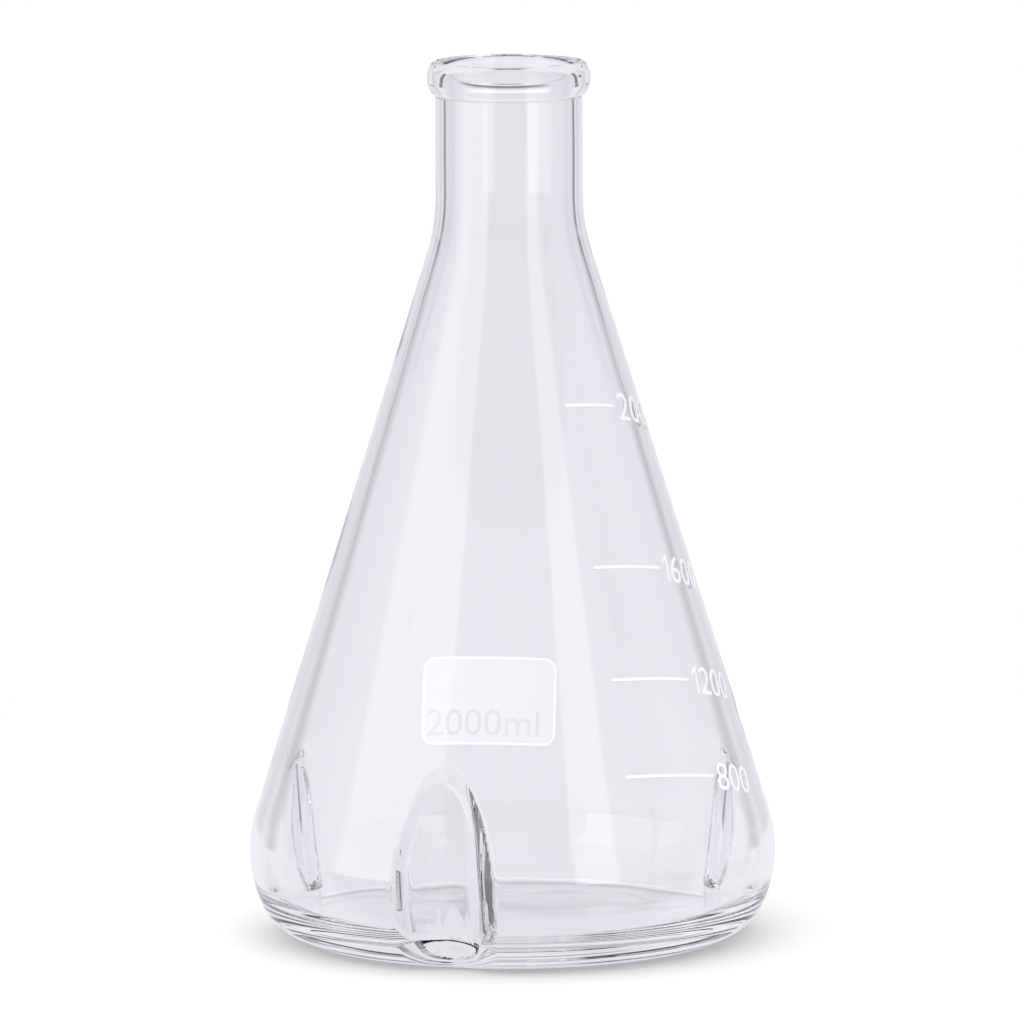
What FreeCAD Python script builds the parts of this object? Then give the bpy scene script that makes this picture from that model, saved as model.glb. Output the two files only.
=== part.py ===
import FreeCAD, Part
import math
import os
from collections import namedtuple

# A two litre conical shake flask of clear glass with three pressed baffles, in millimetres.
# The flask is one piece: a blown body with a tooled rim, whose hot wall was pushed in with a
# round bar at three places around the heel. The origin is the centre of the foot, the axis is
# +Z, and azimuths are counted in degrees from -Y towards +X.

# Outside of the blown body; the heel turns into the belly at an angle below level
flask_height = 276.0
body_diameter = 166.0
heel_radius = 17.1
belly_radius = 39.8
heel_turn = 24.84
cone_half_angle = 17.35
shoulder_radius = 60.0
neck_diameter = 46.0

# Rim, an oval bead with a small round under it
rim_diameter = 51.1
rim_height = 10.4
rim_end_radius = 2.0
rim_root_radius = 1.2

# Thickness of the glass
wall = 3.0
floor_thickness = 9.0
inner_heel_radius = 12.0
fin_wall = 5.0

# Baffles: the bar leaves a groove outside and a fin inside. The bottom of the groove is a line
# from a foot in the plane that the flask stands on, counted in from the body's widest radius,
# to a top on the cone.
bar_radius = 12.0
groove_lip_radius = 6.0
fin_root_radius = 1.5
side_azimuth = 111.0
side_foot_inset = 12.0
side_top_height = 50.5
Baffle = namedtuple("Baffle", "foot_azimuth top_azimuth foot_inset top_height")
baffles = [
    Baffle(foot_azimuth=-15.0, top_azimuth=-16.6, foot_inset=13.5, top_height=59.0),
    Baffle(side_azimuth, side_azimuth, side_foot_inset, side_top_height),
    Baffle(-side_azimuth, -side_azimuth, side_foot_inset, side_top_height),
]

# How far a bar runs past the glass, and how close counts as touching
overrun = 30.0
touch = 0.0001

cone_angle = math.radians(cone_half_angle)
quarter = math.pi / 2
neck_radius = neck_diameter / 2
bore_radius = neck_radius - wall
up = FreeCAD.Vector(0, 0, 1)

# Centre, in radius and height, and radius of one arc of the section
Arc = namedtuple("Arc", "r z radius")


def at(azimuth, r, z):
    """Point at an azimuth in degrees, a radius and a height."""
    angle = math.radians(azimuth)
    return FreeCAD.Vector(r * math.sin(angle), -r * math.cos(angle), z)


def on_section(r, z):
    """Point of the section that is turned about the axis."""
    return at(0, r, z)


def on_arc(arc, angle):
    """Point of an arc, with the angle counted up from straight outwards."""
    return on_section(arc.r + arc.radius * math.cos(angle), arc.z + arc.radius * math.sin(angle))


def bend(arc, start, end):
    """Edge along an arc from one angle to another."""
    points = [on_arc(arc, angle) for angle in (start, (start + end) / 2, end)]
    return Part.Arc(*points).toShape()


def joined(edges, *points):
    """The edges, then straight edges from the end of the last one through the points."""
    start = edges[-1].Vertexes[-1].Point
    for end in points:
        edges.append(Part.LineSegment(start, end).toShape())
        start = end
    return edges


def outer_arcs():
    """Heel and belly of the outside, tangent to the foot, to each other and to the cone."""
    belly_r = body_diameter / 2 - belly_radius
    apart = belly_radius - heel_radius
    turn = math.radians(heel_turn)
    heel = Arc(belly_r + apart * math.cos(turn), heel_radius, heel_radius)
    return heel, Arc(belly_r, heel.z + apart * math.sin(turn), belly_radius)


def inner_arcs():
    """Heel and belly of the inside: the wall is even, and the glass thickens to the floor."""
    belly = outer_arcs()[1]
    radius = belly.radius - wall
    heel_z = floor_thickness + inner_heel_radius
    reach = math.sqrt((radius - inner_heel_radius) ** 2 - (belly.z - heel_z) ** 2)
    return Arc(belly.r + reach, heel_z, inner_heel_radius), Arc(belly.r, belly.z, radius)


def shoulder_arc(radius):
    """Shoulder, tangent to the cone and to the neck: its centre is the same in and outside."""
    belly = outer_arcs()[1]
    r = neck_radius + shoulder_radius
    run = belly.radius + shoulder_radius - (r - belly.r) * math.cos(cone_angle)
    return Arc(r, belly.z + run / math.sin(cone_angle), radius)


def cone_radius(z):
    """Radius of the outside of the cone at height z."""
    belly = outer_arcs()[1]
    return belly.r + (belly.radius - (z - belly.z) * math.sin(cone_angle)) / math.cos(cone_angle)


def body_edges(heel, belly, shoulder, floor_z):
    """Section of one side of the glass, from the axis at the floor up to the neck."""
    turn = math.atan2(heel.z - belly.z, heel.r - belly.r)
    foot = [Part.LineSegment(on_section(0, floor_z), on_arc(heel, -quarter)).toShape()]
    lower = [bend(heel, -quarter, turn), bend(belly, turn, cone_angle)]
    neck = bend(shoulder, 2 * quarter + cone_angle, 2 * quarter)
    return joined(foot + lower, neck.Vertexes[0].Point) + [neck]


def rim_middle():
    """Height of the middle of the rim."""
    return flask_height - rim_height / 2


def rim_edges():
    """Section of the rim, from the neck under the bead over the top to the bore."""
    half_width = (rim_diameter / 2 - bore_radius) / 2
    reach = rim_height / 2 - rim_end_radius
    side_radius = (half_width ** 2 + reach ** 2 - rim_end_radius ** 2) / (2 * (half_width - rim_end_radius))
    middle_r, middle_z = bore_radius + half_width, rim_middle()
    bottom = Arc(middle_r, middle_z - reach, rim_end_radius)
    top = Arc(middle_r, middle_z + reach, rim_end_radius)
    outside = Arc(middle_r + half_width - side_radius, middle_z, side_radius)
    inside = Arc(middle_r - half_width + side_radius, middle_z, side_radius)
    flank = math.asin(reach / (side_radius - rim_end_radius))
    root_r = neck_radius + rim_root_radius
    root_turn = math.acos((root_r - middle_r) / (rim_root_radius + rim_end_radius))
    root = Arc(root_r, bottom.z - (rim_root_radius + rim_end_radius) * math.sin(root_turn), rim_root_radius)
    return [
        bend(root, 2 * quarter, 2 * quarter - root_turn),
        bend(bottom, -root_turn, -flank),
        bend(outside, -flank, flank),
        bend(top, flank, 2 * quarter - flank),
        bend(inside, 2 * quarter - flank, 2 * quarter),
    ]


def turned(edges):
    """Solid made by turning a closed section about the axis."""
    return Part.Face(Part.Wire(edges)).revolve(on_section(0, 0), up, 360)


def plain_outside():
    """The flask before pressing, filled up to the middle of the rim."""
    rim = rim_edges()
    edges = body_edges(*outer_arcs(), shoulder_arc(shoulder_radius), 0)
    joined(edges, rim[0].Vertexes[0].Point)
    return turned(joined(edges + rim, on_section(0, rim_middle()), on_section(0, 0)))


def plain_inside():
    """The space inside the flask before pressing, up to the middle of the rim."""
    edges = body_edges(*inner_arcs(), shoulder_arc(shoulder_radius + wall), floor_thickness)
    corners = [(bore_radius, rim_middle()), (0, rim_middle()), (0, floor_thickness)]
    return turned(joined(edges, *[on_section(r, z) for r, z in corners]))


def bar(baffle, cover):
    """The round bar that presses one baffle, made thicker by the glass that covers it."""
    foot = at(baffle.foot_azimuth, body_diameter / 2 - baffle.foot_inset, 0)
    top = at(baffle.top_azimuth, cone_radius(baffle.top_height), baffle.top_height)
    line = (top - foot).normalize()
    outwards = at((baffle.foot_azimuth + baffle.top_azimuth) / 2, 1, 0)
    outwards = (outwards - line * outwards.dot(line)).normalize()
    start = foot + outwards * bar_radius - line * overrun
    length = foot.distanceToPoint(top) + 2 * overrun
    return Part.makeCylinder(bar_radius + cover, length, start, line)


def pressed(solid, tool, radius):
    """The solid with a bar cut out of it, and a round along the whole edge of the cut."""
    cut = solid.cut(tool)
    lip = []
    for edge in cut.Edges:
        middle = Part.Vertex(edge.valueAt((edge.FirstParameter + edge.LastParameter) / 2))
        if max(tool.distToShape(middle)[0], solid.Shells[0].distToShape(middle)[0]) < touch:
            lip.append(edge)
    return cut.makeFillet(radius, lip)


def flask():
    """The glass: the pressed outside less the pressed inside."""
    outside, inside = plain_outside(), plain_inside()
    for baffle in baffles:
        outside = pressed(outside, bar(baffle, 0), groove_lip_radius)
        inside = pressed(inside, bar(baffle, fin_wall), fin_root_radius)
    return outside.cut(inside)


os.makedirs("parts", exist_ok=True)
flask().Solids[0].exportStep("parts/flask.step")
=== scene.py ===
import math

import bmesh
import bpy
import numpy as np
from bpy.props import FloatProperty, FloatVectorProperty, PointerProperty, StringProperty
from mathutils import Matrix, Vector
from mathutils.geometry import delaunay_2d_cdt, interpolate_bezier


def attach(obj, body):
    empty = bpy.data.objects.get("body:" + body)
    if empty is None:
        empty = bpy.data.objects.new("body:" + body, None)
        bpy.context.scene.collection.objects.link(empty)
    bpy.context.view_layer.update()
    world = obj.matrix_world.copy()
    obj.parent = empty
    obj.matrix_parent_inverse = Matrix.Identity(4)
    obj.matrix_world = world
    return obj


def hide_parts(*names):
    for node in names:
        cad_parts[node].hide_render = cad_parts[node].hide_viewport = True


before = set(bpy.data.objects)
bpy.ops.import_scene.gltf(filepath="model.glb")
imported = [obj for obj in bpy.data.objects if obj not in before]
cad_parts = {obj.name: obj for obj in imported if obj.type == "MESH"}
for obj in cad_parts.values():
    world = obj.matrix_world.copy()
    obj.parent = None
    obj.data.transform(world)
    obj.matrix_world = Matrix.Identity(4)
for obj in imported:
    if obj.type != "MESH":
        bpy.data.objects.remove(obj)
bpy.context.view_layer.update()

bl_info = {
    "name": "Baffled shake flask",
    "version": (1, 0, 0),
    "blender": (4, 5, 0),
    "location": "View3D > Sidebar > Shake flask",
    "description": "A clear glass shake flask with three pressed baffles and a fired enamel scale",
    "category": "Add Mesh",
}

MM = 0.001

# Resolution of the glass mesh: columns across a baffle, and half the width of that band, then the
# width of a column elsewhere, and how far the close rows reach above the highest baffle
BAFFLE_COLUMNS = 78
BAFFLE_BAND = math.radians(17)
PLAIN_COLUMN = math.radians(3)
PRESSED_MARGIN = 18 * MM

# Pressing: how far in the surface may move, as a share of the heel's radius, how often the search
# halves that, what counts as moved, and the step that gives a slope, in metres. Two limits keep
# divisions sound: the least distance from the axis, and the most that two slopes may align.
PRESS_REACH = 0.96
PRESS_HALVINGS = 26
PRESS_TOUCH = 1e-6
SLOPE_STEP = 2e-5
TINY = 1e-9
MOST_ALIGNED = 0.999

# Capacity in the writing patch, from its lower left to its upper right corner on the flat artwork
CAPACITY = "2000ml"
CAPACITY_LOW = (-19.2, 74.0)
CAPACITY_HIGH = (15.9, 81.9)

# What the patch and its edge cover of the glass, and what the scale covers
PATCH_COVER = 0.16
EDGE_COVER = 0.5
SCALE_COVER = 0.95

# Indices of refraction
BOROSILICATE_IOR = 1.473
ENAMEL_IOR = 1.52

# What glass sees around it, in linear colour. Through the glass it sees pale paper with darker
# joins, and patches in front of that. Rays that a surface has mirrored also see a darker room with
# two lights behind the viewer, and painted shade on the floor in front of the flask, from a distance
# in metres: a dark colour that stands in for the flask's shadow there, and that only glass sees.
# The room sets in over a ramp towards the viewer and ends in a ramp at its top, as parts of a
# direction. The sky lights the floor and the enamel, more from higher up. Each patch has a colour,
# the azimuth of its middle and half its width in degrees, from straight behind the flask to the
# right, and the same for its height as the upright part of a direction. The screens stand for the
# view from the front, and from its two sides one of them can show through the glass.
WHITE = (1.0, 1.0, 1.0, 1.0)
PAPER = (0.875, 0.875, 0.91, 1.0)
JOIN = (0.74, 0.74, 0.78, 1.0)
JOINS_AROUND = 8.0
ROOM = (0.48, 0.48, 0.50, 1.0)
ROOM_RAMP = 0.4
ROOM_TOP = 0.5
ROOM_TOP_RAMP = 0.25
# Painted shade: the dark colour that mirrored glass rays see on the floor in front of the flask, standing in
# for its shadow, with where it starts and how it ramps in
PAINTED_FLOOR_SHADE = (0.20, 0.20, 0.22, 1.0)
PAINTED_FLOOR_SHADE_START = 0.062
PAINTED_FLOOR_SHADE_RAMP = 0.02
GREY_CARD = (0.72, 0.72, 0.76, 1.0)
SCREEN = (0.16, 0.16, 0.18, 1.0)
WINDOW = (1.25, 1.25, 1.25, 1.0)
SKY_LEVEL = 0.56
SKY_RISE = 0.75
SOFT_TURN = 5.0
LIGHT_SOFT_TURN = 1.5
SOFT_LEVEL = 0.03
PATCHES = (
    (GREY_CARD, -28.0, 8.0, -0.02, 0.06),
    (GREY_CARD, 28.0, 8.0, -0.02, 0.06),
    (SCREEN, 30.0, 8.0, -0.20, 0.08),
    (SCREEN, -44.0, 8.0, 0.085, 0.07),
    (SCREEN, 44.0, 8.0, 0.085, 0.07),
    (SCREEN, -46.0, 7.5, -0.22, 0.26),
    (SCREEN, 46.0, 7.5, -0.22, 0.26),
    (SCREEN, -6.0, 14.0, 0.15, 0.035),
    (WINDOW, 0.0, 8.0, 0.085, 0.024),
)
ROOM_LIGHT = (1.70, 1.70, 1.70, 1.0)
ROOM_PATCHES = (
    (ROOM_LIGHT, -120.0, 26.0, 0.31, 0.48),
    (ROOM_LIGHT, 142.0, 11.0, 0.31, 0.48),
)

# Light passes through many walls before it leaves the flask
BOUNCES = 48

# Studio floor, just under the foot, the point that the lamps face, and the camera, in metres, with
# its lens in millimetres and its roll in degrees
FLOOR_RADIUS = 0.45
FLOOR_DROP = 0.0002
LAMP_TARGET = (0, 0, 0.13)
LENS = 335.5
SENSOR_WIDTH = 36
CAMERA_PLACE = (0, -2.9708, 0.5575)
CAMERA_AIM = (0.00035, 0, 0.1336)
CAMERA_ROLL = -0.29


# Settings


def length(name, description, millimetres):
    """A length setting, with its default in millimetres."""
    return FloatProperty(name=name, description=description, default=millimetres * MM, unit="LENGTH")


def angle(name, description, degrees):
    """An angle setting, with its default in degrees."""
    return FloatProperty(name=name, description=description, default=math.radians(degrees), unit="ROTATION")


def colour(name, description, hex_code):
    """A colour setting, with its default as an sRGB hex code."""
    return StringProperty(name=name, description=description, default=hex_code)


class ShakeFlaskBody(bpy.types.PropertyGroup):
    """Sizes of the blown body and of its tooled rim."""

    height: length("Height", "Foot to rim", 276.0)
    body_radius: length("Body radius", "Widest part of the outside", 83.0)
    foot_radius: length("Foot radius", "Flat part of the foot", 63.8)
    heel_radius: length("Heel radius", "Round between the foot and the belly", 17.1)
    belly_radius: length("Belly radius", "Round between the heel and the cone", 39.8)
    cone_angle: angle("Cone half angle", "Slope of the cone from upright", 17.35)
    shoulder_radius: length("Shoulder radius", "Round between the cone and the neck", 60.0)
    neck_radius: length("Neck radius", "Outside of the neck", 23.0)
    rim_radius: length("Rim radius", "Outside of the bead", 25.55)
    rim_height: length("Rim height", "Height of the bead", 10.4)
    rim_end_radius: length("Rim end radius", "Round at the top and bottom of the bead", 2.0)
    rim_root_radius: length("Rim root radius", "Round between the bead and the neck", 1.2)
    wall: length("Wall", "Thickness of the glass", 3.0)
    floor_thickness: length("Floor thickness", "Glass at the middle of the foot", 9.0)
    inner_heel_radius: length("Inner heel radius", "Round between the floor and the wall, inside", 12.0)


class ShakeFlaskBaffles(bpy.types.PropertyGroup):
    """Sizes of the three baffles, in the order front, right, left."""

    foot_azimuths: FloatVectorProperty(
        name="Foot azimuths", description="Where each groove reaches the foot, from the front to the right",
        default=[math.radians(a) for a in (-15.0, 111.0, -111.0)], unit="ROTATION",
    )
    top_azimuths: FloatVectorProperty(
        name="Top azimuths", description="Where each groove leaves the cone",
        default=[math.radians(a) for a in (-16.6, 111.0, -111.0)], unit="ROTATION",
    )
    foot_radii: FloatVectorProperty(
        name="Foot radii", description="How far from the axis the bottom of each groove starts",
        default=[69.5 * MM, 71.0 * MM, 71.0 * MM], unit="LENGTH",
    )
    top_heights: FloatVectorProperty(
        name="Top heights", description="Where the bottom of each groove meets the cone",
        default=[59.0 * MM, 50.5 * MM, 50.5 * MM], unit="LENGTH",
    )
    bar_radius: length("Bar radius", "Round bar that presses the hot wall in", 12.0)
    lip_radius: length("Lip radius", "Round along the edge of a groove", 6.0)
    fin_root_radius: length("Fin root radius", "Round along the foot of a fin, inside", 1.5)
    fin_wall: length("Fin wall", "Thickness of the glass in a baffle", 5.0)


class ShakeFlaskPrint(bpy.types.PropertyGroup):
    """Sizes of the fired enamel print."""

    label_azimuth: angle("Label azimuth", "Middle of the writing patch", -6.3)
    label_top: length("Label top", "Height of the top of the patch", 97.5)
    label_width: length("Label width", "Width of the patch", 42.0)
    label_height: length("Label height", "Height of the patch along the glass", 27.4)
    label_corner: length("Label corner", "Corner radius of the patch", 3.8)
    label_edge: length("Label edge", "Width of the thicker edge of the patch", 0.7)
    scale_azimuth: angle("Scale azimuth", "Where the printing screen met the glass for the scale", 22.0)
    digit_height: length("Digit height", "Height of the figures along the glass", 8.8)
    line_width: length("Line width", "Width of a graduation line", 0.9)
    film: length("Film", "Thickness of the enamel", 0.06)
    gap: length("Gap", "Air that keeps the film clear of the glass mesh", 0.03)


class ShakeFlaskLook(bpy.types.PropertyGroup):
    """Colours of the glass and the enamel."""

    glass_tint: colour("Glass tint", "What one pass through a wall leaves of white light", "#FBFBFD")
    enamel_white: colour("Enamel", "Fired white enamel", "#FAFAFB")
    floor_colour: colour("Floor", "Pale studio floor", "#FAFAFA")


def settings(name):
    """One group of this scene's settings."""
    return getattr(bpy.context.scene, "shake_flask_" + name)


# Section of the glass


def arc(centre, radius, start, end, count):
    """Points of an arc as (radius, height) rows, with their outward normals."""
    turn = np.linspace(start, end, count)
    normals = np.column_stack([np.cos(turn), np.sin(turn)])
    return np.array(centre) + radius * normals, normals


def straight(start, end, normal, shares):
    """Points along a straight run at the given shares of it, with one normal."""
    start, end = np.array(start), np.array(end)
    points = start + np.outer(shares, end - start)
    return points, np.tile(normal, (len(points), 1))


class Section:
    """Heel, belly, cone, shoulder and neck of one side of the glass, before pressing."""

    def __init__(self, body, inner):
        self.slope = body.cone_angle
        belly_r = body.body_radius - body.belly_radius
        rise = math.sqrt((body.belly_radius - body.heel_radius) ** 2 - (body.foot_radius - belly_r) ** 2)
        self.belly = np.array([belly_r, body.heel_radius + rise])
        self.floor = body.floor_thickness if inner else 0.0
        self.belly_radius = body.belly_radius - (body.wall if inner else 0.0)
        self.heel_radius = body.inner_heel_radius if inner else body.heel_radius
        heel_z = self.floor + self.heel_radius
        reach = math.sqrt((self.belly_radius - self.heel_radius) ** 2 - (self.belly[1] - heel_z) ** 2)
        self.heel = np.array([belly_r + reach, heel_z])
        self.turn = math.atan2(self.heel[1] - self.belly[1], self.heel[0] - self.belly[0])
        centre_r = body.neck_radius + body.shoulder_radius
        run = body.belly_radius + body.shoulder_radius - (centre_r - belly_r) * math.cos(self.slope)
        self.shoulder = np.array([centre_r, self.belly[1] + run / math.sin(self.slope)])
        self.shoulder_radius = body.shoulder_radius + (body.wall if inner else 0.0)
        self.neck_radius = body.neck_radius - (body.wall if inner else 0.0)

    def cone_radius(self, z):
        """Radius of the cone at a height."""
        drop = (z - self.belly[1]) * math.sin(self.slope)
        return self.belly[0] + (self.belly_radius - drop) / math.cos(self.slope)

    def distance(self, points):
        """Signed distance from the surface below the shoulder, negative inside, and its slope."""
        r, z = np.hypot(points[..., 0], points[..., 1]), points[..., 2]
        belly_r, belly_z = r - self.belly[0], z - self.belly[1]
        heel_r, heel_z = r - self.heel[0], z - self.heel[1]
        turn = np.arctan2(belly_z, belly_r)
        low_turn = np.where(heel_r > 0, np.arctan2(heel_z, heel_r), -math.pi / 2)
        low = np.where(heel_r > 0, np.hypot(heel_r, heel_z) - self.heel_radius, self.floor - z)
        cone = (r - self.cone_radius(z)) * math.cos(self.slope)
        belly = np.hypot(belly_r, belly_z) - self.belly_radius
        facing = np.where(turn >= self.slope, self.slope, np.where(turn > self.turn, turn, low_turn))
        away = np.cos(facing) / np.maximum(r, TINY)
        slope = np.stack([points[..., 0] * away, points[..., 1] * away, np.sin(facing)], axis=-1)
        return np.where(turn >= self.slope, cone, np.where(turn > self.turn, belly, low)), slope

    def rows(self, press_top):
        """Rows of the section from the axis at the floor up to the neck, close together where the
        baffles are."""
        quarter = math.pi / 2
        flat = straight((0, self.floor), (self.heel[0], self.floor), (0, -1),
                        [0, 0.3, 0.6, 0.78, 0.86, 0.91, 0.945, 0.97, 0.985])
        heel = arc(self.heel, self.heel_radius, -quarter, self.turn, 24)
        belly = arc(self.belly, self.belly_radius, self.turn, self.slope, 32)
        low = belly[0][-1]
        normal = (math.cos(self.slope), math.sin(self.slope))
        middle = (self.cone_radius(press_top), press_top)
        shoulder = arc(self.shoulder, -self.shoulder_radius, self.slope, 0, 12)
        lower = straight(low, middle, normal, np.linspace(0, 1, 44)[1:])
        upper = straight(middle, shoulder[0][0], normal, np.linspace(0, 1, 12)[1:-1])
        parts = [flat, heel, (belly[0][1:], belly[1][1:]), lower, upper, shoulder]
        return np.vstack([p for p, _ in parts]), np.vstack([n for _, n in parts])


def rim_rows(body):
    """Rows of the rim, from the neck under the bead over the top and down into the bore."""
    quarter = math.pi / 2
    end = body.rim_end_radius
    bore = body.neck_radius - body.wall
    half_width = (body.rim_radius - bore) / 2
    reach = body.rim_height / 2 - end
    side = (half_width ** 2 + reach ** 2 - end ** 2) / (2 * (half_width - end))
    middle_r, middle_z = bore + half_width, body.height - body.rim_height / 2
    flank = math.asin(reach / (side - end))
    root_r = body.neck_radius + body.rim_root_radius
    root_turn = math.acos((root_r - middle_r) / (body.rim_root_radius + end))
    root_z = middle_z - reach - (body.rim_root_radius + end) * math.sin(root_turn)
    parts = [
        arc((root_r, root_z), -body.rim_root_radius, 0, -root_turn, 6),
        arc((middle_r, middle_z - reach), end, -root_turn, -flank, 8),
        arc((middle_r + half_width - side, middle_z), side, -flank, flank, 14),
        arc((middle_r, middle_z + reach), end, flank, 2 * quarter - flank, 14),
        arc((middle_r - half_width + side, middle_z), side, 2 * quarter - flank, 2 * quarter, 8),
    ]
    # Each arc starts where the one before it ends, and that row is kept once
    points, normals = parts[0]
    for more_points, more_normals in parts[1:]:
        points, normals = np.vstack([points, more_points[1:]]), np.vstack([normals, more_normals[1:]])
    return points, normals


def turned_rows(rows, normals, azimuths):
    """Points and normals of rows of the section turned about the axis."""
    across = np.column_stack([np.sin(azimuths), -np.cos(azimuths)])
    flat = [pairs[:, None, :1] * across[None] for pairs in (rows, normals)]
    return [
        np.concatenate([side, np.broadcast_to(pairs[:, None, 1:], side.shape[:2] + (1,))], axis=2)
        for side, pairs in zip(flat, (rows, normals))
    ]


# Pressing the baffles


class Bar:
    """The round bar that presses one baffle, thicker inside by the glass that covers it."""

    def __init__(self, baffles, index, outside):
        foot = self.at(baffles.foot_azimuths[index], baffles.foot_radii[index], 0)
        height = baffles.top_heights[index]
        top = self.at(baffles.top_azimuths[index], outside.cone_radius(height), height)
        self.azimuth = (baffles.foot_azimuths[index] + baffles.top_azimuths[index]) / 2
        self.line = (top - foot) / np.linalg.norm(top - foot)
        outwards = self.at(self.azimuth, 1, 0)
        outwards = outwards - self.line * outwards.dot(self.line)
        self.start = foot + baffles.bar_radius * outwards / np.linalg.norm(outwards)
        self.radius = baffles.bar_radius

    @staticmethod
    def at(azimuth, r, z):
        """Point at an azimuth, a radius and a height."""
        return np.array([r * math.sin(azimuth), -r * math.cos(azimuth), z])

    def depth(self, points, cover):
        """How deep points lie inside the bar, which a cover makes thicker, and the slope of that."""
        offset = points - self.start
        offset = offset - (offset @ self.line)[..., None] * self.line
        reach = np.linalg.norm(offset, axis=-1)
        return self.radius + cover - reach, -offset / reach[..., None]


def space(section, bars, cover, rounding, points):
    """Signed distance from one pressed side of the glass, with a round where a bar's cut ends: a
    ball of that radius rolls along the edge inside the glass."""
    plain, plain_slope = section.distance(points)
    level = np.full(plain.shape, -np.inf)
    for bar in bars:
        cut, cut_slope = bar.depth(points, cover)
        across, along = plain + rounding, cut + rounding
        turn = np.clip(np.sum(plain_slope * cut_slope, axis=-1), -MOST_ALIGNED, MOST_ALIGNED)
        edge = (across > along * turn) & (along > across * turn) & (np.maximum(across, along) > 0)
        reach = np.sqrt(np.maximum(across ** 2 + along ** 2 - 2 * across * along * turn, 0) / (1 - turn ** 2))
        level = np.maximum(level, np.where(edge, reach, np.maximum(across, along)) - rounding)
    return level


def pressed(section, bars, cover, rounding, rows, normals, azimuths):
    """Points and normals of one side of the glass, each moved inwards along the section's normal
    until it leaves the bars."""
    start, outwards = turned_rows(rows, normals, azimuths)
    near = np.zeros(start.shape[:2])
    far = np.full(start.shape[:2], PRESS_REACH * section.heel_radius)
    for _ in range(PRESS_HALVINGS):
        middle = (near + far) / 2
        inside = space(section, bars, cover, rounding, start - middle[..., None] * outwards) < 0
        near, far = np.where(inside, near, middle), np.where(inside, middle, far)
    touched = far > PRESS_TOUCH
    points = start - np.where(touched, far, 0.0)[..., None] * outwards
    slope = np.stack([
        space(section, bars, cover, rounding, points + shift)
        - space(section, bars, cover, rounding, points - shift)
        for shift in SLOPE_STEP * np.eye(3)
    ], axis=-1)
    slope /= np.linalg.norm(slope, axis=-1, keepdims=True)
    return points, np.where(touched[..., None], slope, outwards)


def ring_azimuths(bars):
    """Azimuths of the mesh columns, close together across each baffle."""
    centres = sorted(bar.azimuth % (2 * math.pi) for bar in bars)
    columns = []
    for centre, following in zip(centres, centres[1:] + [centres[0] + 2 * math.pi]):
        start, end, after = centre - BAFFLE_BAND, centre + BAFFLE_BAND, following - BAFFLE_BAND
        columns.extend(np.linspace(start, end, BAFFLE_COLUMNS, endpoint=False))
        plain = max(2, round((after - end) / PLAIN_COLUMN))
        columns.extend(np.linspace(end, after, plain, endpoint=False))
    return np.array(columns)


def ring_faces(rings, columns):
    """Quads between rings of a grid whose columns close on themselves."""
    ring, column = np.meshgrid(np.arange(rings - 1), np.arange(columns), indexing="ij")
    following = (column + 1) % columns
    corners = [ring * columns + column, ring * columns + following,
               (ring + 1) * columns + following, (ring + 1) * columns + column]
    return np.stack(corners, axis=-1).reshape(-1, 4)


def glass_mesh(body, baffles):
    """The whole glass as one closed mesh, with the normals of the true surface."""
    outside, inside = Section(body, False), Section(body, True)
    bars = [Bar(baffles, index, outside) for index in range(len(baffles.top_heights))]
    azimuths = ring_azimuths(bars)
    press_top = max(baffles.top_heights) + PRESSED_MARGIN
    sides = []
    pressings = ((outside, 0.0, baffles.lip_radius), (inside, baffles.fin_wall, baffles.fin_root_radius))
    for section, cover, rounding in pressings:
        rows, normals = section.rows(press_top)
        low = rows[:, 1] < press_top
        moved = pressed(section, bars, cover, rounding, rows[low][1:], normals[low][1:], azimuths)
        plain = turned_rows(rows[~low], normals[~low], azimuths)
        sides.append([np.concatenate(pair) for pair in zip(moved, plain)])
    rim = turned_rows(*rim_rows(body), azimuths)
    inner_points, inner_normals = sides[1]
    points = np.concatenate([sides[0][0], rim[0], inner_points[::-1]])
    normals = np.concatenate([sides[0][1], rim[1], -inner_normals[::-1]])
    rings, columns = points.shape[:2]
    ends = np.array([[0, 0, outside.floor], [0, 0, inside.floor]])
    vertices = np.vstack([points.reshape(-1, 3), ends])
    normals = np.vstack([normals.reshape(-1, 3), [[0, 0, -1], [0, 0, 1]]])
    faces = ring_faces(rings, columns).tolist()
    foot, top = rings * columns, rings * columns + 1
    last = (rings - 1) * columns
    for column in range(columns):
        following = (column + 1) % columns
        faces.append((foot, following, column))
        faces.append((top, last + column, last + following))
    mesh = bpy.data.meshes.new("flask_glass")
    mesh.from_pydata(vertices.tolist(), [], faces)
    mesh.shade_smooth()
    mesh.normals_split_custom_set_from_vertices(normals.tolist())
    return mesh


# Printing on the cone


def on_cone(outside, azimuth, across, height, lift):
    """Point of flat artwork once it is wrapped on the cone: across and height are counted from
    the line where the printing screen first meets the glass."""
    slope = outside.slope
    apex = outside.belly[1] + (outside.belly_radius + outside.belly[0] * math.cos(slope)) / math.sin(slope)
    down = (apex - height) / math.cos(slope)
    reach = math.hypot(across, down)
    turn = azimuth + math.atan2(across, down) / math.sin(slope)
    r = reach * math.sin(slope) + lift * math.cos(slope)
    z = apex - reach * math.cos(slope) + lift * math.sin(slope)
    return Vector((r * math.sin(turn), -r * math.cos(turn), z))


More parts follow.
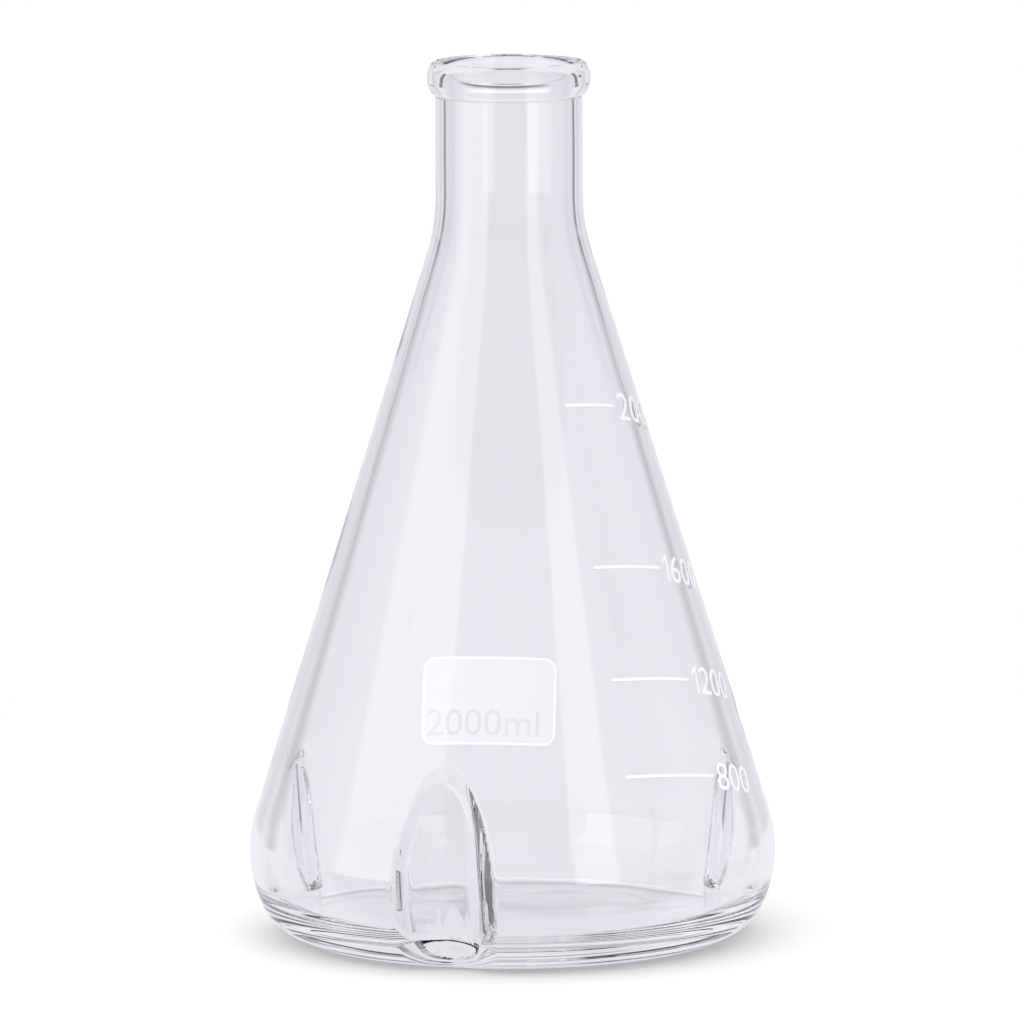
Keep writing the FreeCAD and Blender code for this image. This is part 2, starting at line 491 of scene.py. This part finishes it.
def figure_loops(text, low, high):
    """Outlines of a line of figures that fill a rectangle, as closed loops of flat points."""
    words = bpy.data.curves.new("figures", "FONT")
    words.body = text
    holder = bpy.data.objects.new("figures", words)
    bpy.context.scene.collection.objects.link(holder)
    loops = []
    for spline in holder.to_curve(bpy.context.evaluated_depsgraph_get()).splines:
        stops = list(spline.bezier_points)
        runs = zip(stops, stops[1:] + stops[:1])
        loops.append([p.to_2d() for a, b in runs
                      for p in interpolate_bezier(a.co, a.handle_right, b.handle_left, b.co, 8)[:-1]])
    holder.to_curve_clear()
    bpy.data.objects.remove(holder)
    points = np.array([p for loop in loops for p in loop])
    corner, size = points.min(axis=0), np.ptp(points, axis=0)
    scale = (np.array(high) - low) / size
    return [[Vector(low + (np.array(p) - corner) * scale) for p in loop] for loop in loops]


def one_loop(left, bottom, top):
    """Outline of a figure one, a stroke with a flag on its left, as a closed loop of flat points."""
    corners = [(0.34, 0), (0.34, 1), (0.24, 1), (0, 0.8), (0, 0.67), (0.23, 0.84), (0.23, 0)]
    return [Vector((left + x * (top - bottom), bottom + y * (top - bottom))) for x, y in corners]


def rectangle_loop(low, high, corner):
    """Outline of a rectangle with round corners, as a closed loop of flat points."""
    left, bottom, right, top = low[0] + corner, low[1] + corner, high[0] - corner, high[1] - corner
    loop = []
    for i, (x, y) in enumerate([(right, top), (left, top), (left, bottom), (right, bottom)]):
        for turn in np.linspace(0, math.pi / 2, 9) + i * math.pi / 2:
            loop.append(Vector((x + corner * math.cos(turn), y + corner * math.sin(turn))))
    return loop


def inside_loops(point, loops):
    """Whether a flat point lies inside an odd number of loops."""
    crossings = 0
    for loop in loops:
        for a, b in zip(loop, loop[1:] + loop[:1]):
            if (a.y > point.y) != (b.y > point.y):
                crossings += point.x < a.x + (point.y - a.y) * (b.x - a.x) / (b.y - a.y)
    return crossings % 2 == 1


def film_mesh(name, loops, sizes, outside, azimuth):
    """A film of enamel inside flat loops in millimetres, wrapped on the cone: cut into strips 1 mm
    wide so that it can bend, and closed all round."""
    points, edges = [], []
    for loop in loops:
        first = len(points)
        points.extend(loop)
        edges.extend((first + i, first + (i + 1) % len(loop)) for i in range(len(loop)))
    corners, _, triangles, *_ = delaunay_2d_cdt(points, edges, [], 0, 1e-5)
    middles = [sum((corners[i] for i in triangle), Vector((0, 0))) / 3 for triangle in triangles]
    kept = [t for t, middle in zip(triangles, middles) if inside_loops(middle, loops)]
    shape = bmesh.new()
    vertices = [shape.verts.new((*corner, 0)) for corner in corners]
    for triangle in kept:
        shape.faces.new([vertices[i] for i in triangle])
    xs = [corner.x for corner in corners]
    for cut in np.arange(min(xs) + 1, max(xs), 1):
        parts = shape.verts[:] + shape.edges[:] + shape.faces[:]
        bmesh.ops.bisect_plane(shape, geom=parts, plane_co=(cut, 0, 0), plane_no=(1, 0, 0))
    top = bmesh.ops.extrude_face_region(shape, geom=shape.faces[:])["geom"]
    raised = {v for v in top if isinstance(v, bmesh.types.BMVert)}
    bmesh.ops.delete(shape, geom=[v for v in shape.verts if not v.link_faces], context="VERTS")
    for vertex in shape.verts:
        lift = sizes.gap + (sizes.film if vertex in raised else 0)
        vertex.co = on_cone(outside, azimuth, vertex.co.x * MM, vertex.co.y * MM, lift)
    bmesh.ops.recalc_face_normals(shape, faces=shape.faces)
    mesh = bpy.data.meshes.new(name)
    shape.to_mesh(mesh)
    shape.free()
    return mesh


# Materials


def linear(hex_code):
    """Linear colour of an sRGB hex code."""
    values = [int(hex_code[i:i + 2], 16) / 255 for i in (1, 3, 5)]
    return [v / 12.92 if v <= 0.04045 else ((v + 0.055) / 1.055) ** 2.4 for v in values] + [1.0]


def add_node(tree, kind, inputs=(), **settings):
    """Adds a node with its settings. Its inputs come in order or by name, and each takes a value, a
    socket, or a node whose first output feeds it."""
    node = tree.nodes.new(kind)
    for name, value in settings.items():
        setattr(node, name, value)
    for name, source in inputs.items() if isinstance(inputs, dict) else enumerate(inputs):
        if isinstance(source, bpy.types.Node):
            source = next(output for output in source.outputs if output.enabled)
        if isinstance(source, bpy.types.NodeSocket):
            tree.links.new(source, node.inputs[name])
        else:
            node.inputs[name].default_value = source
    return node


def empty_material(name):
    """A material whose node tree is still empty, and that tree."""
    material = bpy.data.materials.new(name)
    material.use_nodes = True
    material.node_tree.nodes.clear()
    return material, material.node_tree


def bumps(tree, wavelength, detail, roughness, strength, depth):
    """Random bumps of a surface, with their width and depth in metres."""
    place = add_node(tree, "ShaderNodeTexCoord").outputs["Object"]
    pattern = {"Vector": place, "Scale": 1 / wavelength, "Detail": detail, "Roughness": roughness}
    noise = add_node(tree, "ShaderNodeTexNoise", pattern)
    return add_node(tree, "ShaderNodeBump", {"Height": noise, "Strength": strength, "Distance": depth})


def blown_borosilicate():
    """Clear borosilicate glass, blown in a mould and fire polished: no colour, a very smooth
    surface, and slow waves in it that bend what is seen through the wall."""
    material, tree = empty_material("blown_borosilicate")
    waves = bumps(tree, wavelength=31.25 * MM, detail=1.0, roughness=0.4, strength=0.25, depth=0.6 * MM)
    glass = add_node(tree, "ShaderNodeBsdfPrincipled", {
        "Base Color": linear(settings("look").glass_tint),
        "Transmission Weight": 1.0,
        "Roughness": 0.0,
        "IOR": BOROSILICATE_IOR,
        "Normal": waves,
    })
    add_node(tree, "ShaderNodeOutputMaterial", {"Surface": glass})
    return material


def fired_enamel(name, cover):
    """White ceramic enamel, screen printed and fired on: satin, thin enough for some light to come
    through, and with a grain that is drawn coarser than the real one so that it shows."""
    material, tree = empty_material(name)
    grain = bumps(tree, wavelength=MM / 0.9, detail=2.0, roughness=0.5, strength=0.3, depth=0.1 * MM)
    enamel = add_node(tree, "ShaderNodeBsdfPrincipled", {
        "Base Color": linear(settings("look").enamel_white),
        "Roughness": 0.42,
        "IOR": ENAMEL_IOR,
        "Alpha": cover,
        "Normal": grain,
    })
    add_node(tree, "ShaderNodeOutputMaterial", {"Surface": enamel})
    return material


def add_piece(mesh, material):
    """Puts a mesh in the scene as a piece of the flask."""
    piece = bpy.data.objects.new(mesh.name, mesh)
    mesh.materials.append(material)
    bpy.context.scene.collection.objects.link(piece)
    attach(piece, "root")
    return piece


# Operators


class MakeGlass(bpy.types.Operator):
    """Build the blown glass with its three baffles."""

    bl_idname = "shake_flask.make_glass"
    bl_label = "Glass"

    def execute(self, context):
        mesh = glass_mesh(settings("body"), settings("baffles"))
        piece = add_piece(mesh, blown_borosilicate())
        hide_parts("flask")
        return {"FINISHED"}


class MakeLabel(bpy.types.Operator):
    """Print the writing patch, with the capacity left clear in it."""

    bl_idname = "shake_flask.make_label"
    bl_label = "Writing patch"

    def execute(self, context):
        sizes, outside = settings("print"), Section(settings("body"), False)
        half, top = sizes.label_width / MM / 2, sizes.label_top / MM
        low = top - sizes.label_height / MM * math.cos(outside.slope)
        corner, edge = sizes.label_corner / MM, sizes.label_edge / MM
        outline = rectangle_loop((-half, low), (half, top), corner)
        inline = rectangle_loop((edge - half, low + edge), (half - edge, top - edge), corner - edge)
        figures = figure_loops(CAPACITY, CAPACITY_LOW, CAPACITY_HIGH)
        prints = {
            "writing_patch": (figures + [inline], PATCH_COVER),
            "writing_patch_edge": ([outline, inline], EDGE_COVER),
        }
        for name, (loops, cover) in prints.items():
            mesh = film_mesh(name, loops, sizes, outside, sizes.label_azimuth)
            add_piece(mesh, fired_enamel(name + "_enamel", cover))
        return {"FINISHED"}


class MakeScale(bpy.types.Operator):
    """Print the graduation lines and their figures."""

    bl_idname = "shake_flask.make_scale"
    bl_label = "Scale"

    # Height of each line, and where it starts and ends on the flat artwork, in millimetres, then
    # the gap from a line to its figures, the widths that a figure and a one take, and how round
    # the ends of a line are
    marks = {
        "2000": (172.0, 2.4, 22.0),
        "1600": (123.1, 5.4, 33.0),
        "1200": (89.3, 7.0, 39.4),
        "800": (60.2, 7.8, 44.5),
    }
    figure_gap = 2.0
    figure_pitch = 7.1
    one_pitch = 4.2
    line_end_share = 0.9

    def execute(self, context):
        sizes, outside = settings("print"), Section(settings("body"), False)
        figure_rise = sizes.digit_height / MM * math.cos(outside.slope) / 2
        line_rise = sizes.line_width / MM * math.cos(outside.slope) / 2
        material = fired_enamel("fired_enamel", SCALE_COVER)
        for figures, (height, start, end) in self.marks.items():
            left, low, high = end + self.figure_gap, height - figure_rise, height + figure_rise
            line_low, line_high = (start, height - line_rise), (end, height + line_rise)
            loops = [rectangle_loop(line_low, line_high, self.line_end_share * line_rise)]
            if figures[0] == "1":
                loops.append(one_loop(left, low, high))
                left += self.one_pitch
            other = figures.lstrip("1")
            loops += figure_loops(other, (left, low), (left + self.figure_pitch * len(other), high))
            mesh = film_mesh("scale_mark_" + figures, loops, sizes, outside, sizes.scale_azimuth)
            add_piece(mesh, material)
        return {"FINISHED"}


class MakeStage(bpy.types.Operator):
    """Set up the floor, the studio light and the camera."""

    bl_idname = "shake_flask.make_stage"
    bl_label = "Stage"

    def execute(self, context):
        add_floor()
        add_world()
        for name, azimuth, width in (("left_soft_light", -60, 1.15), ("right_soft_light", 38, 0.42)):
            add_soft_light(name, azimuth, elevation=20, distance=1.2, size=(width, 1.4), radiance=1.3)
        add_camera()
        context.scene.view_settings.view_transform = "Standard"
        cycles = context.scene.cycles
        cycles.max_bounces = cycles.transmission_bounces = cycles.glossy_bounces = BOUNCES
        return {"FINISHED"}


def seen_by_glass(tree, ray):
    """Whether a ray has left a glass surface, mirrored by it or bent through it."""
    kinds = [ray["Is Glossy Ray"], ray["Is Transmission Ray"]]
    return add_node(tree, "ShaderNodeMath", kinds, operation="MAXIMUM")


def add_floor():
    """A round pale floor, which keeps the flask's shadow. Glass sees it as evenly lit paper, and in
    its mirrored rays the part in front of the flask carries painted shade, a dark colour that
    stands in for the flask's shadow there."""
    shape = bmesh.new()
    bmesh.ops.create_circle(shape, cap_ends=True, segments=160, radius=FLOOR_RADIUS)
    mesh = bpy.data.meshes.new("studio_floor")
    shape.to_mesh(mesh)
    shape.free()
    material, tree = empty_material("pale_floor")
    ray = add_node(tree, "ShaderNodeLightPath").outputs
    place = add_node(tree, "ShaderNodeTexCoord").outputs["Object"]
    depth = add_node(tree, "ShaderNodeSeparateXYZ", [place]).outputs["Y"]
    # Painted shade: mirrored glass rays see the floor in front of the flask, from a distance on, in a dark
    # colour that stands in for the flask's shadow there
    ramp = [depth, -1 / PAINTED_FLOOR_SHADE_RAMP, -PAINTED_FLOOR_SHADE_START / PAINTED_FLOOR_SHADE_RAMP]
    nearer = add_node(tree, "ShaderNodeMath", ramp, operation="MULTIPLY_ADD")
    mirrored = add_node(tree, "ShaderNodeMath", [nearer, ray["Glossy Depth"]], operation="MINIMUM")
    shades = {"Factor": mirrored, "A": PAPER, "B": PAINTED_FLOOR_SHADE}
    shade = add_node(tree, "ShaderNodeMix", shades, data_type="RGBA")
    paper = add_node(tree, "ShaderNodeEmission", {"Color": shade})
    matt = add_node(tree, "ShaderNodeBsdfDiffuse", {"Color": linear(settings("look").floor_colour)})
    both = add_node(tree, "ShaderNodeMixShader", [seen_by_glass(tree, ray), matt, paper])
    add_node(tree, "ShaderNodeOutputMaterial", {"Surface": both})
    mesh.materials.append(material)
    floor = bpy.data.objects.new("studio_floor", mesh)
    floor.location.z = -FLOOR_DROP
    bpy.context.scene.collection.objects.link(floor)


def patched(tree, way, colour, patches, soft_turn):
    """A colour of the surroundings with soft edged patches over it."""
    azimuth = add_node(tree, "ShaderNodeMath", [way["X"], way["Y"]], operation="ARCTAN2")
    for shade, turn, half_width, level, half_height in patches:
        beside = add_node(tree, "ShaderNodeMath", [azimuth, math.radians(turn)], operation="SUBTRACT")
        beside = add_node(tree, "ShaderNodeMath", [beside], operation="ABSOLUTE")
        above = add_node(tree, "ShaderNodeMath", [way["Z"], level], operation="SUBTRACT")
        above = add_node(tree, "ShaderNodeMath", [above], operation="ABSOLUTE")
        ramp = [beside, -1 / math.radians(soft_turn), half_width / soft_turn]
        across = add_node(tree, "ShaderNodeMath", ramp, operation="MULTIPLY_ADD")
        ramp = [above, -1 / SOFT_LEVEL, half_height / SOFT_LEVEL]
        upright = add_node(tree, "ShaderNodeMath", ramp, operation="MULTIPLY_ADD")
        cover = add_node(tree, "ShaderNodeMath", [across, upright], operation="MINIMUM")
        colour = add_node(tree, "ShaderNodeMix", {"Factor": cover, "A": colour, "B": shade}, data_type="RGBA")
    return colour


def add_world():
    """A white background, and a sky that lights what isn't glass. Glass sees pale paper with darker
    joins, and cards and screens that draw its edges when it is seen from the front. Only rays that
    a surface has mirrored see the room behind the viewer and its two lights."""
    world = bpy.data.worlds.new("studio")
    bpy.context.scene.world = world
    world.use_nodes = True
    tree = world.node_tree
    tree.nodes.clear()

    ray = add_node(tree, "ShaderNodeLightPath").outputs
    direction = add_node(tree, "ShaderNodeTexCoord").outputs["Generated"]
    way = add_node(tree, "ShaderNodeSeparateXYZ", [direction]).outputs

    azimuth = add_node(tree, "ShaderNodeMath", [way["X"], way["Y"]], operation="ARCTAN2")
    turns = add_node(tree, "ShaderNodeMath", [azimuth, JOINS_AROUND], operation="MULTIPLY")
    wave = add_node(tree, "ShaderNodeMath", [turns], operation="COSINE")
    joins = add_node(tree, "ShaderNodeMath", [wave, -0.5, 0.5], operation="MULTIPLY_ADD")
    paper = add_node(tree, "ShaderNodeMix", {"Factor": joins, "A": PAPER, "B": JOIN}, data_type="RGBA")
    behind = patched(tree, way, paper, PATCHES, SOFT_TURN)

    nearer = add_node(tree, "ShaderNodeMath", [way["Y"], -1 / ROOM_RAMP], operation="MULTIPLY")
    ramp = [way["Z"], -1 / ROOM_TOP_RAMP, ROOM_TOP / ROOM_TOP_RAMP]
    lower = add_node(tree, "ShaderNodeMath", ramp, operation="MULTIPLY_ADD")
    walls = add_node(tree, "ShaderNodeMath", [nearer, lower], operation="MINIMUM")
    room = add_node(tree, "ShaderNodeMix", {"Factor": walls, "A": behind, "B": ROOM}, data_type="RGBA")
    mirrored = patched(tree, way, room, ROOM_PATCHES, LIGHT_SOFT_TURN)
    views = {"Factor": ray["Glossy Depth"], "A": behind, "B": mirrored}
    studio = add_node(tree, "ShaderNodeMix", views, data_type="RGBA")

    height = add_node(tree, "ShaderNodeMath", [way["Z"], 0.0], operation="MAXIMUM")
    sky = add_node(tree, "ShaderNodeMath", [height, SKY_RISE, SKY_LEVEL], operation="MULTIPLY_ADD")
    views = {"Factor": seen_by_glass(tree, ray), "A": sky, "B": studio}
    seen = add_node(tree, "ShaderNodeMix", views, data_type="RGBA")
    views = {"Factor": ray["Is Camera Ray"], "A": seen, "B": WHITE}
    final = add_node(tree, "ShaderNodeMix", views, data_type="RGBA")
    light = add_node(tree, "ShaderNodeBackground", {"Color": final, "Strength": 1.0})
    add_node(tree, "ShaderNodeOutputWorld", {"Surface": light})


def add_soft_light(name, azimuth, elevation, distance, size, radiance):
    """A rectangular soft light that faces the flask. Neither the camera nor the glass sees it, and
    the sky alone gives the shadow."""
    data = bpy.data.lights.new(name, "AREA")
    data.shape = "RECTANGLE"
    data.size, data.size_y = size
    data.energy = radiance * math.pi * size[0] * size[1]
    data.use_shadow = False
    lamp = bpy.data.objects.new(name, data)
    turn, lift = math.radians(azimuth), math.radians(elevation)
    away = Vector((math.sin(turn) * math.cos(lift), -math.cos(turn) * math.cos(lift), math.sin(lift)))
    lamp.location = Vector(LAMP_TARGET) + distance * away
    lamp.rotation_euler = away.to_track_quat("Z", "Y").to_euler()
    lamp.visible_camera = lamp.visible_glossy = lamp.visible_transmission = False
    bpy.context.scene.collection.objects.link(lamp)


def add_camera():
    """The photograph's viewpoint: 8 degrees above level, 3 metres away, with a long lens."""
    data = bpy.data.cameras.new("camera")
    data.lens = LENS
    data.sensor_width = SENSOR_WIDTH
    camera = bpy.data.objects.new("camera", data)
    camera.location = CAMERA_PLACE
    aim = Vector(CAMERA_AIM) - camera.location
    roll = Matrix.Rotation(math.radians(CAMERA_ROLL), 4, "Z")
    camera.rotation_euler = (aim.to_track_quat("-Z", "Y").to_matrix().to_4x4() @ roll).to_euler()
    bpy.context.scene.collection.objects.link(camera)
    bpy.context.scene.camera = camera


# Panel and start


class ShakeFlaskPanel(bpy.types.Panel):
    """Buttons that build the flask."""

    bl_idname = "VIEW3D_PT_shake_flask"
    bl_label = "Shake flask"
    bl_space_type = "VIEW_3D"
    bl_region_type = "UI"
    bl_category = "Shake flask"

    def draw(self, context):
        for operator in OPERATORS:
            self.layout.operator(operator.bl_idname)
        for name in GROUPS:
            group = settings(name)
            for entry in group.__annotations__:
                self.layout.prop(group, entry)


GROUPS = {
    "body": ShakeFlaskBody,
    "baffles": ShakeFlaskBaffles,
    "print": ShakeFlaskPrint,
    "look": ShakeFlaskLook,
}
OPERATORS = (MakeStage, MakeGlass, MakeLabel, MakeScale)


def register():
    """Registers the settings, the operators and the panel."""
    for name, group in GROUPS.items():
        bpy.utils.register_class(group)
        setattr(bpy.types.Scene, "shake_flask_" + name, PointerProperty(type=group))
    for cls in OPERATORS + (ShakeFlaskPanel,):
        bpy.utils.register_class(cls)


def unregister():
    """Takes out the panel, the operators and the settings."""
    for cls in (ShakeFlaskPanel,) + OPERATORS[::-1]:
        bpy.utils.unregister_class(cls)
    for name, group in GROUPS.items():
        delattr(bpy.types.Scene, "shake_flask_" + name)
        bpy.utils.unregister_class(group)


def main():
    """Builds the stage and the flask."""
    register()
    bpy.ops.shake_flask.make_stage()
    bpy.ops.shake_flask.make_glass()
    bpy.ops.shake_flask.make_label()
    bpy.ops.shake_flask.make_scale()


if __name__ == "__main__":
    main()
